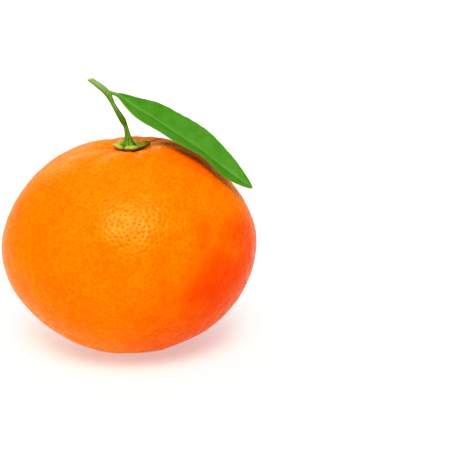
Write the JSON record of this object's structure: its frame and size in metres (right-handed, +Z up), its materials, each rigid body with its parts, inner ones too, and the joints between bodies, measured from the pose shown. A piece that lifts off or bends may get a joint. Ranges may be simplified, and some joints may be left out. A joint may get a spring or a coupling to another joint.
{
  "type": "mandarin",
  "caption": "Whole ripe mandarin as picked, with its green calyx, a short ribbed stalk with a piece of twig, and one leaf folded over the fruit.",
  "frame": {"origin": "on the surface that the fruit rests on, under the middle of the fruit", "axes": "+Z up from the resting ring at the blossom end towards the stalk; the leaf reaches towards +X and the cut end of the twig towards -X"},
  "size_m": [0.0632, 0.0627, 0.0679],
  "materials": {
    "peel": "waxy orange peel with fine pores, satin gloss",
    "calyx": "matte yellow-green plant skin",
    "stalk": "satin green ribbed plant stem",
    "leaf": "leathery mid-green leaf, satin above and dull below"
  },
  "bodies": {
    "root": {"fruit": "peel", "calyx": "calyx", "stalk": "stalk", "leaf": "leaf"}
  },
  "joints": []
}
